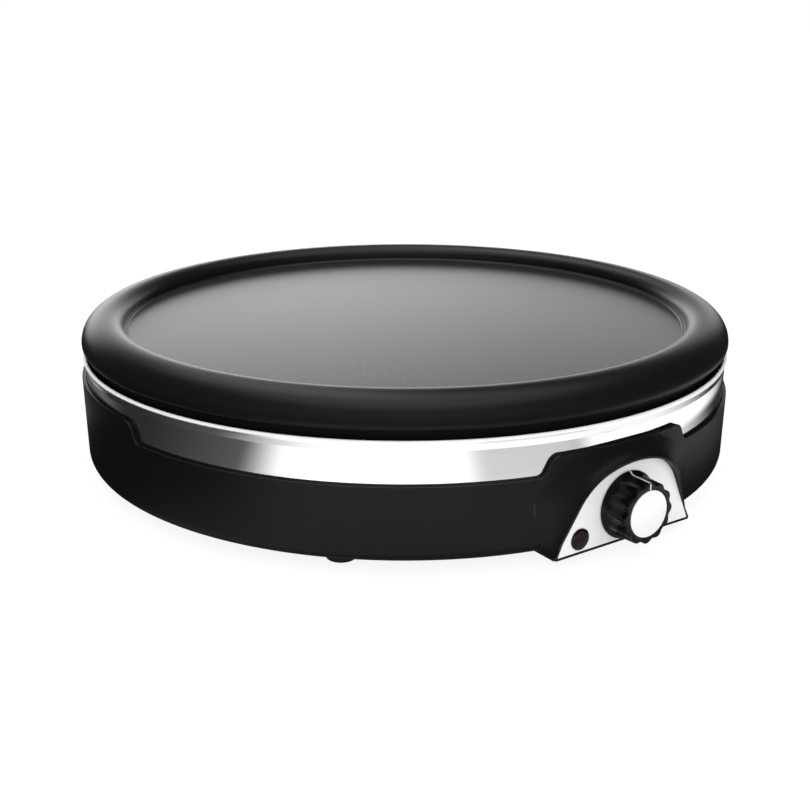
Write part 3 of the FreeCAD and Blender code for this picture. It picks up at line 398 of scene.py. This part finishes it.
# Panel lip: a low ridge of the casing that frames the foot of the fascia, so that a black line
# runs under the plate and round its two lower corners.
def panel_lip():
    """A strip that follows the plate's foot, with its ends running up into the leaning face."""
    fascia_low, fascia_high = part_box("control_fascia")
    gap = 0.00012
    width = 0.0012
    end_width = 0.0002
    corner_cut = 0.6
    climb = 0.0115
    lean = math.radians(24.1)
    proud = 0.00005
    sunk = 0.0012
    foot = fascia_low[2]
    top_z = foot + climb
    corner_x = fascia_high[0] + gap / math.cos(lean) + gap * math.tan(lean)
    top_x = corner_x - (climb + gap) * math.tan(lean)
    inner = [(-top_x, top_z), (-corner_x, foot - gap), (-corner_x, foot - gap),
             (corner_x, foot - gap), (corner_x, foot - gap), (top_x, top_z)]
    outer = [(-top_x - end_width, top_z), (-corner_x - width, foot - end_width),
             (-corner_x - width * corner_cut, foot - width), (corner_x + width * corner_cut, foot - width),
             (corner_x + width, foot - end_width), (top_x + end_width, top_z)]
    front = fascia_low[1] - proud
    back = fascia_low[1] + sunk
    points = [(x, y, z) for y in (front, back) for row in (inner, outer) for x, z in row]
    count = len(inner)
    faces = []
    for i in range(count - 1):
        a, b, c, d = i, i + count, i + 2 * count, i + 3 * count
        faces += [(a, a + 1, b + 1, b), (c, d, d + 1, c + 1), (b, b + 1, d + 1, d), (a, c, c + 1, a + 1)]
    faces += [(0, count, 3 * count, 2 * count), (count - 1, 3 * count - 1, 4 * count - 1, 2 * count - 1)]
    strip = bpy.data.meshes.new("panel_lip")
    strip.from_pydata(points, [], faces)
    work = bmesh.new()
    work.from_mesh(strip)
    bmesh.ops.remove_doubles(work, verts=work.verts, dist=0.000001)
    bmesh.ops.recalc_face_normals(work, faces=work.faces)
    work.to_mesh(strip)
    work.free()
    strip.materials.append(casing_abs)
    piece = bpy.data.objects.new("panel_lip", strip)
    bpy.context.scene.collection.objects.link(piece)
    return piece


lip = panel_lip()
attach(lip, "base")


# Indicator: a dark red lens of clear-dyed polycarbonate over a neon lamp. The dye swirls a
# little, and the lens is polished.
swirl_size = 0.00333
lens_plastic = mottled_finish("dark_red_polycarbonate", "#150908", "#1d0d0b", swirl_size,
                              {"Roughness": 0.12, "IOR": 1.58, "Specular IOR Level": 0.15}, detail=1.0)
dress("indicator_lens", lens_plastic)


# Knob: phenolic moulding, glossy black, with a round bevelled skirt and twelve lobes that
# fingers grip. A silver disc is pressed into its face, and a pale line marks the setting.
knob_low, knob_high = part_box("thermostat_knob")
knob_z = (knob_low[2] + knob_high[2]) / 2
skirt_radius = (knob_high[2] - knob_low[2]) / 2
knob_front_y = knob_low[1]
knob_back_y = knob_high[1]
cap_low, cap_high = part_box("knob_cap")
cap_radius = (cap_high[0] - cap_low[0]) / 2
# From the back come the skirt, a waist, the body with its lobes, and a socket for the disc.
lobe_count = 12
scallop_depth = 0.00115
crest_back = 0.0141
crest_front = 0.0138
lobe_shape = 1.25
chamfer = 0.0002
hub_radius = 0.003
skirt_depth = 0.0007
waist_depth = 0.002
body_start = 0.0034
front_round = 0.0005
face_land = 0.0118
socket_lead = 0.0003
socket_draft = 0.00001
socket_depth = 0.001
cap_fit = 0.00005

# Polished phenolic: deep black, with highlights that flow marks blur a little.
phenolic, tree, shader, place = new_finish("glossy_black_phenolic")
flow_size = 0.00833
flow = add_node(tree, "ShaderNodeTexNoise", {"Vector": place, "Scale": 1 / flow_size, "Detail": 2.0})
polish = add_node(tree, "ShaderNodeMapRange",
                  {"Value": flow.outputs["Fac"], "To Min": 0.16, "To Max": 0.24})
tree.links.new(polish.outputs["Result"], shader.inputs["Roughness"])
shader.inputs["Base Color"].default_value = srgb("#070707")
shader.inputs["IOR"].default_value = 1.5
shader.inputs["Specular IOR Level"].default_value = 0.17


def knob_shell():
    """The knob's skin: rings of points whose radius dips between the lobes."""
    depth = knob_back_y - knob_front_y
    # Each row is a depth from the back, a radius, and how much of the lobes shows there.
    rows = [(0.0, hub_radius, 0.0), (0.0, skirt_radius - chamfer, 0.0), (chamfer, skirt_radius, 0.0),
            (skirt_depth, skirt_radius, 0.0), (waist_depth, crest_back + chamfer, 0.0),
            (waist_depth + chamfer, crest_back, 0.15), (waist_depth + 3 * chamfer, crest_back, 0.75),
            (body_start, crest_back, 1.0)]
    body = depth - front_round
    for share in (0.25, 0.5, 0.75, 1.0):
        y = body_start + (body - body_start) * share
        rows.append((y, crest_back + (crest_front - crest_back) * share, 1.0))
    for turn in (22.5, 45.0, 67.5, 90.0):
        angle = math.radians(turn)
        rows.append((body + front_round * math.sin(angle),
                     crest_front - front_round * (1 - math.cos(angle)), 1.0))
    rows += [(depth, face_land, 0.4), (depth, cap_radius + socket_lead, 0.0),
             (depth - chamfer, cap_radius + cap_fit + socket_draft, 0.0),
             (depth - socket_depth, cap_radius + cap_fit, 0.0), (depth - socket_depth, hub_radius, 0.0)]
    steps = 360
    points = []
    for y, radius, dip in rows:
        for step in range(steps):
            angle = 2 * math.pi * step / steps
            between = 0.5 - 0.5 * math.cos(lobe_count * angle)
            r = radius - scallop_depth * dip * between ** lobe_shape
            points.append((r * math.sin(angle), knob_back_y - y, knob_z + r * math.cos(angle)))
    faces = []
    for row in range(len(rows) - 1):
        for step in range(steps):
            here = row * steps + step
            after = row * steps + (step + 1) % steps
            faces.append((here, after, after + steps, here + steps))
    shell = bpy.data.meshes.new("fluted_knob")
    shell.from_pydata(points, [], faces + [tuple(reversed(range(steps))),
                                           tuple(range((len(rows) - 1) * steps, len(rows) * steps))])
    shell.materials.append(phenolic)
    piece = bpy.data.objects.new("fluted_knob", shell)
    bpy.context.scene.collection.objects.link(piece)
    return piece


knob = knob_shell()
smooth(knob, 40)
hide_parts("thermostat_knob")
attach(knob, "knob")

# The disc in the face has the same lacquer, a shade warmer where fingers have rubbed it.
rub_size = 0.00385
cap_lacquer = mottled_finish("rubbed_silver_lacquer", "#f1f1ef", "#fbfbfa", rub_size,
                             {"Roughness": 0.3, "Specular IOR Level": 0.3}, detail=2.0)
dress("knob_cap", cap_lacquer)

# Pointer: hot-stamped foil, a pale line up the skirt, along the top lobe and down the face.
# The foil is worn in spots, so its white is uneven.
wear_size = 0.00111
foil = mottled_finish("pale_hot_stamped_foil", "#b9b9b6", "#dededb", wear_size,
                      {"Roughness": 0.35}, detail=2.0)


def pointer_line():
    """A thin strip that follows the knob's top lobe and front face."""
    half = 0.0004
    rise = 0.00006
    line_start = 0.0003
    top_lead = 0.0004
    sunk_lead = 0.0006
    depth = knob_back_y - knob_front_y
    line_end = knob_z + cap_radius + socket_lead
    along = [(line_start, skirt_radius), (skirt_depth, skirt_radius), (waist_depth, crest_back + chamfer),
             (waist_depth + 3 * chamfer, crest_back), (depth - front_round, crest_front)]
    route = [(knob_back_y - y, knob_z + r + rise) for y, r in along]
    route += [(knob_front_y - rise, knob_z + crest_front - top_lead), (knob_front_y - rise, line_end)]
    sunk = [(knob_back_y - y, knob_z + r - rise) for y, r in along]
    sunk += [(knob_front_y + rise, knob_z + crest_front - sunk_lead), (knob_front_y + rise, line_end)]
    points = [(side * half, y, z) for y, z in route for side in (-1, 1)]
    points += [(side * half, y, z) for y, z in sunk for side in (-1, 1)]
    count = len(route)
    faces = []
    for i in range(count - 1):
        top = 2 * i
        low = 2 * (i + count)
        faces += [(top, top + 1, top + 3, top + 2), (low, low + 2, low + 3, low + 1),
                  (top, top + 2, low + 2, low), (top + 1, low + 1, low + 3, top + 3)]
    last = 2 * (count - 1)
    faces += [(0, 2 * count, 2 * count + 1, 1), (last, last + 1, last + 2 * count + 1, last + 2 * count)]
    strip = bpy.data.meshes.new("pointer_line")
    strip.from_pydata(points, [], faces)
    strip.materials.append(foil)
    piece = bpy.data.objects.new("pointer_line", strip)
    bpy.context.scene.collection.objects.link(piece)
    return piece


pointer = pointer_line()
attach(pointer, "knob")


# Feet: four moulded rubber pads, pushed through the floor and held by their barbs.
# Nitrile rubber is matt, with a faint grey bloom.
bloom_size = 0.0025
rubber = mottled_finish("black_nitrile_rubber", "#141414", "#1f1f1f", bloom_size, {"Roughness": 0.6})
for corner in ("front_right", "rear_right", "rear_left", "front_left"):
    dress("foot_" + corner, rubber)


# Cord gland: a black nylon bush snapped into the rear wall. Its moulded skin is satin, with
# faint flow marks.
nylon, tree, shader, place = new_finish("black_nylon")
flow_size = 0.002
flow = add_node(tree, "ShaderNodeTexNoise", {"Vector": place, "Scale": 1 / flow_size, "Detail": 2.0})
flow_bump = add_node(tree, "ShaderNodeBump",
                     {"Height": flow.outputs["Fac"], "Strength": 0.1, "Distance": 0.00005})
tree.links.new(flow_bump.outputs["Normal"], shader.inputs["Normal"])
shader.inputs["Base Color"].default_value = srgb("#141414")
shader.inputs["Roughness"].default_value = 0.45
dress("cord_gland", nylon)


# Inside pieces: plated and bright steel, ceramic, copper and silicone-covered wire. They are
# closed in by the casing, the band and the plate, and show only through the vented floor.
def bare(roughness):
    """The shader's inputs for a bare or plated metal."""
    return {"Metallic": 1.0, "Roughness": roughness}


silicone = {"Roughness": 0.6}
# Zinc spangle is 5 to 10 mm across and barely shows.
galvanised = mottled_finish("galvanised_steel", "#a5a8aa", "#c2c4c5", 0.007, bare(0.35))
zinc_plate = mottled_finish("zinc_plated_steel", "#b4b3ad", "#cfcfca", 0.003, bare(0.28))
oxidised = mottled_finish("oxidised_element_steel", "#6a6259", "#8b8379", 0.004, bare(0.5))
steatite = mottled_finish("steatite_ceramic", "#dcd7ca", "#ece8de", 0.002, {"Roughness": 0.55})
copper = mottled_finish("drawn_copper", "#b8754f", "#d08c64", 0.003, bare(0.3))
aluminium = mottled_finish("plain_aluminium", "#c4c2bc", "#d6d5d0", 0.002, bare(0.35))
turned_steel = mottled_finish("turned_steel", "#a2a2a2", "#bcbcbc", 0.001, bare(0.25))
brown_silicone = mottled_finish("brown_silicone", "#4a2a18", "#5a3520", 0.003, silicone)
blue_silicone = mottled_finish("blue_silicone", "#2c4f8f", "#3560a8", 0.003, silicone)
green_silicone = mottled_finish("green_silicone", "#7d9a2b", "#94b23a", 0.003, silicone)

# Soda glass, clear and a little sooted.
lamp_glass, tree, shader, place = new_finish("soda_glass")
soot_size = 0.0025
soot = add_node(tree, "ShaderNodeTexNoise", {"Vector": place, "Scale": 1 / soot_size, "Detail": 1.0})
glass_rough = add_node(tree, "ShaderNodeMapRange",
                       {"Value": soot.outputs["Fac"], "To Min": 0.02, "To Max": 0.08})
tree.links.new(glass_rough.outputs["Result"], shader.inputs["Roughness"])
shader.inputs["Base Color"].default_value = srgb("#f2dccb")
shader.inputs["Transmission Weight"].default_value = 1.0
shader.inputs["IOR"].default_value = 1.52
inside = {
    "heat_shield": galvanised, "fuse_clip": galvanised, "sensor_clamp": galvanised,
    "thermostat_body": galvanised, "shield_spacers": zinc_plate, "plate_screws": zinc_plate,
    "band_screws": zinc_plate, "thermostat_screws": zinc_plate, "clamp_screws": zinc_plate,
    "terminal_screws": zinc_plate, "block_screws": zinc_plate, "earth_screw": zinc_plate,
    "heating_element": oxidised, "element_terminals": steatite, "terminal_block": steatite,
    "sensor_bulb": copper, "capillary_tube": copper, "thermal_fuse": aluminium,
    "thermostat_shaft": turned_steel, "neon_lamp": lamp_glass, "live_lead": brown_silicone,
    "load_lead": brown_silicone, "fuse_lead": brown_silicone, "lamp_leads": brown_silicone,
    "neutral_lead": blue_silicone, "earth_lead": green_silicone,
}
for name, finish in inside.items():
    dress(name, finish)


# Studio: white paper on the table in a white room. Shiny things see a dim tent with soft boxes
# in it, and a graded card lying round the object, as a product photographer sets them.
camera_left = 0.3512
camera_ahead = 0.5110
camera_height = 0.2270
aim_height = 0.01937
view_bearing = -math.degrees(math.atan2(camera_left, camera_ahead))
white = (1, 1, 1, 1)


def stage_piece(name, points, faces):
    """An object of the studio, which isn't part of the appliance."""
    shape = bpy.data.meshes.new(name)
    shape.from_pydata(points, [], faces)
    piece = bpy.data.objects.new(name, shape)
    bpy.context.scene.collection.objects.link(piece)
    return piece


def only_reflected(piece):
    """The piece shows in shiny surfaces and nowhere else, and casts no shadow."""
    piece.visible_camera = False
    piece.visible_diffuse = False
    piece.visible_transmission = False
    piece.visible_volume_scatter = False
    piece.visible_shadow = False


def stage_finish(name):
    """An empty material of the studio, and its node tree."""
    finish = bpy.data.materials.new(name)
    finish.use_nodes = True
    finish.node_tree.nodes.clear()
    return finish, finish.node_tree


def shown_white(tree, lit, bright, share):
    """What lights the object, mixed with plain white where the camera or a shiny surface looks."""
    paths = add_node(tree, "ShaderNodeLightPath").outputs
    seen = add_node(tree, "ShaderNodeMath",
                    {0: paths["Is Camera Ray"], 1: paths["Is Glossy Ray"]}, operation="MAXIMUM")
    seen = add_node(tree, "ShaderNodeMath",
                    {0: seen.outputs["Value"], 1: paths["Is Transmission Ray"]}, operation="MAXIMUM")
    part = add_node(tree, "ShaderNodeMath", {0: seen.outputs["Value"], 1: share}, operation="MULTIPLY")
    mixed = add_node(tree, "ShaderNodeMixShader", {0: part.outputs["Value"], 1: lit, 2: bright})
    return mixed.outputs["Shader"]


reach = 8.0
floor = stage_piece("floor", [(-reach, -reach, 0), (reach, -reach, 0), (reach, reach, 0),
                              (-reach, reach, 0)], [(0, 1, 2, 3)])
paper, tree = stage_finish("white_paper")
matt = add_node(tree, "ShaderNodeBsdfDiffuse", {"Color": srgb("#fafafa")})
glow = add_node(tree, "ShaderNodeEmission", {"Color": white, "Strength": 1.1})
add_node(tree, "ShaderNodeOutputMaterial",
         {"Surface": shown_white(tree, matt.outputs["BSDF"], glow.outputs["Emission"], 0.8)})
floor.data.materials.append(paper)

world = bpy.data.worlds.new("white_room")
bpy.context.scene.world = world
world.use_nodes = True
tree = world.node_tree
tree.nodes.clear()
room = add_node(tree, "ShaderNodeBackground", {"Color": white, "Strength": 1.0})
backdrop = add_node(tree, "ShaderNodeBackground", {"Color": white, "Strength": 1.0})
add_node(tree, "ShaderNodeOutputWorld",
         {"Surface": shown_white(tree, room.outputs["Background"], backdrop.outputs["Background"], 1.0)})


def combined(tree, operation, first, *others):
    """Numbers or sockets, all multiplied or all added."""
    for other in others:
        joined = add_node(tree, "ShaderNodeMath", {0: first, 1: other}, operation=operation)
        first = joined.outputs["Value"]
    return first


def where_seen(tree):
    """Where a point of the studio lies, as seen from the middle of the table.

    bearing is the degrees round from the camera's side, positive to the right and negative to
    the left, behind is the same from 0 to 360, and ahead is the same without its sign. height
    is the degrees above the horizon, and away is the distance from the middle.
    """
    place = add_node(tree, "ShaderNodeTexCoord").outputs["Object"]
    turned = add_node(tree, "ShaderNodeMapping",
                      {"Vector": place, "Rotation": (0, 0, math.radians(-view_bearing))}).outputs["Vector"]
    parts = add_node(tree, "ShaderNodeSeparateXYZ", {"Vector": turned}).outputs
    back = combined(tree, "MULTIPLY", parts["Y"], -1.0)
    angle = add_node(tree, "ShaderNodeMath", {0: parts["X"], 1: back}, operation="ARCTAN2")
    flat = add_node(tree, "ShaderNodeVectorMath", {0: turned, 1: (1, 1, 0)}, operation="MULTIPLY")
    length = add_node(tree, "ShaderNodeVectorMath", {0: flat.outputs["Vector"]}, operation="LENGTH")
    away = length.outputs["Value"]
    rise = add_node(tree, "ShaderNodeMath", {0: parts["Z"], 1: away}, operation="ARCTAN2")
    bearing = combined(tree, "MULTIPLY", angle.outputs["Value"], 180 / math.pi)
    height = combined(tree, "MULTIPLY", rise.outputs["Value"], 180 / math.pi)
    behind = add_node(tree, "ShaderNodeMath", {0: bearing, 1: 360.0, 2: 0.0}, operation="WRAP")
    ahead = add_node(tree, "ShaderNodeMath", {0: bearing}, operation="ABSOLUTE")
    return {"bearing": bearing, "behind": behind.outputs["Value"], "ahead": ahead.outputs["Value"],
            "height": height, "away": away}


def soft_step(tree, value, start, end):
    """0 before start and 1 after end, with a smooth change between."""
    step = add_node(tree, "ShaderNodeMapRange", {"Value": value, "From Min": start, "From Max": end},
                    interpolation_type="SMOOTHSTEP")
    return step.outputs["Result"]


def patch(tree, seen, power, **spans):
    """A soft-edged patch of light, which grows over each span's first two values and, where
    the span has four, fades over its last two."""
    for measure, span in spans.items():
        power = combined(tree, "MULTIPLY", soft_step(tree, seen[measure], span[0], span[1]), power)
        if len(span) == 4:
            power = combined(tree, "MULTIPLY", soft_step(tree, seen[measure], span[3], span[2]), power)
    return power


def glow_from(piece, finish, *patches):
    """Gives a piece of the studio a glow that is the sum of its patches."""
    tree = finish.node_tree
    light = add_node(tree, "ShaderNodeEmission",
                     {"Color": white, "Strength": combined(tree, "ADD", *patches)})
    add_node(tree, "ShaderNodeOutputMaterial", {"Surface": light.outputs["Emission"]})
    piece.data.materials.append(finish)


# Tent: a dim dome. Behind stand a long low box that is dimmer towards its right end, a weak
# one below its left end and two high ones at the left. One box is overhead, and the side
# towards the camera is a little lighter.
def dome(radius, rings, steps, lowest=130):
    """Points and faces of a dome whose edge is this many degrees down from its top."""
    points = [(0, 0, radius)]
    for ring in range(1, rings + 1):
        tilt = math.radians(lowest) * ring / rings
        flat = radius * math.sin(tilt)
        for step in range(steps):
            angle = 2 * math.pi * step / steps
            points.append((flat * math.cos(angle), flat * math.sin(angle), radius * math.cos(tilt)))
    faces = [(0, 1 + step, 1 + (step + 1) % steps) for step in range(steps)]
    for ring in range(rings - 1):
        for step in range(steps):
            here = 1 + ring * steps + step
            after = 1 + ring * steps + (step + 1) % steps
            faces.append((here, here + steps, after + steps, after))
    return points, faces


tent = stage_piece("tent", *dome(radius=5.0, rings=24, steps=48))
only_reflected(tent)
cloth, tree = stage_finish("tent_cloth")
seen = where_seen(tree)
right_end = combined(tree, "ADD", patch(tree, seen, 0.6, behind=(144, 158)),
                     patch(tree, seen, 0.4, behind=(164, 188)))
low_box = patch(tree, seen, 2.95, behind=(226, 202), height=(-10, 3, 10, 24))
low_box = combined(tree, "MULTIPLY", low_box, right_end)
low_left = patch(tree, seen, 0.7, behind=(196, 206, 212, 228), height=(-20, -8, 0, 14))
high_box = patch(tree, seen, 1.1, behind=(180, 186, 202, 212), height=(26, 34))
high_left = patch(tree, seen, 1.0, behind=(196, 208, 228, 246), height=(36, 44))
overhead = patch(tree, seen, 1.1, height=(48, 66))
front_fill = patch(tree, seen, 0.3, ahead=(80, 15))
tent_dim = 0.05
glow_from(tent, cloth, low_box, low_left, high_box, high_left, overhead, front_fill, tent_dim)

# Card: a ring of graded board on the table. Arcs of it are bright ahead, at the right and
# behind, and its left side is nearly dark, so the steel band has light and dark lengths.
card_inner = 0.14
card_outer = 4.8
card_steps = 96
card_lift = 0.0003
card_points = []
for radius in (card_inner, card_outer):
    for step in range(card_steps):
        angle = 2 * math.pi * step / card_steps
        card_points.append((radius * math.cos(angle), axis_y + radius * math.sin(angle), card_lift))
card_faces = [(step, (step + 1) % card_steps, card_steps + (step + 1) % card_steps, card_steps + step)
              for step in range(card_steps)]
card = stage_piece("graded_card", card_points, card_faces)
only_reflected(card)
board, tree = stage_finish("graded_board")
seen = where_seen(tree)
foot_ring = (0.16, 0.17, 0.195, 0.205)
inner_ring = (0.195, 0.205, 0.24, 0.255)
outer_ring = (0.24, 0.255, 0.315, 0.33)
both_rings = (0.195, 0.205, 0.315, 0.33)
foot_fill = patch(tree, seen, 0.7, away=foot_ring, bearing=(-60, -15, 15, 60))
facet_strip = patch(tree, seen, 1.15, away=inner_ring, bearing=(-46, -16, 60, 100))
wall_left = patch(tree, seen, 1.5, away=outer_ring, bearing=(-41, -25, 9, 19))
wall_dip = patch(tree, seen, 0.64, away=outer_ring, bearing=(9, 19, 38, 50))
wall_right = patch(tree, seen, 1.5, away=outer_ring, bearing=(40, 50, 84, 122))
left_edge = patch(tree, seen, 0.35, away=inner_ring, bearing=(-88, -104, -140, -160))
far_left = patch(tree, seen, 0.1, away=outer_ring, bearing=(-80, -96, -140, -165))
back_strip = patch(tree, seen, 0.95, away=both_rings, behind=(128, 150, 205, 232))
front_fill = patch(tree, seen, 0.15, ahead=(75, 10))
card_dim = 0.03
glow_from(card, board, foot_fill, facet_strip, wall_left, wall_dip, wall_right, left_edge, far_left,
          back_strip, front_fill, card_dim)


def stand(piece, place, target):
    """Puts a lamp or the camera in its place and turns it to a target."""
    bpy.context.scene.collection.objects.link(piece)
    piece.location = place
    piece.rotation_euler = (target - place).to_track_quat("-Z", "Y").to_euler()


# A large soft lamp on the camera's side fills the panel, which the casing shades.
lamp_data = bpy.data.lights.new("front_lamp", "AREA")
lamp_data.shape = "DISK"
lamp_data.size = 0.9
lamp_data.energy = 2.8
lamp = bpy.data.objects.new("front_lamp", lamp_data)
lamp_place = Vector((-0.55, -1.35, 0.6))
panel_middle = Vector((0.0, -0.16, 0.02))
stand(lamp, lamp_place, panel_middle)
lamp.visible_glossy = False

# The camera stands where the photograph was taken from, as fitted to the round outlines.
camera_data = bpy.data.cameras.new("photo_camera")
camera_data.lens = 54.017
camera_data.sensor_width = 36.0
camera = bpy.data.objects.new("photo_camera", camera_data)
camera_place = Vector((-camera_left, axis_y - camera_ahead, camera_height))
stand(camera, camera_place, Vector((0.0, axis_y, aim_height)))
bpy.context.scene.camera = camera
bpy.context.scene.view_settings.view_transform = "Standard"
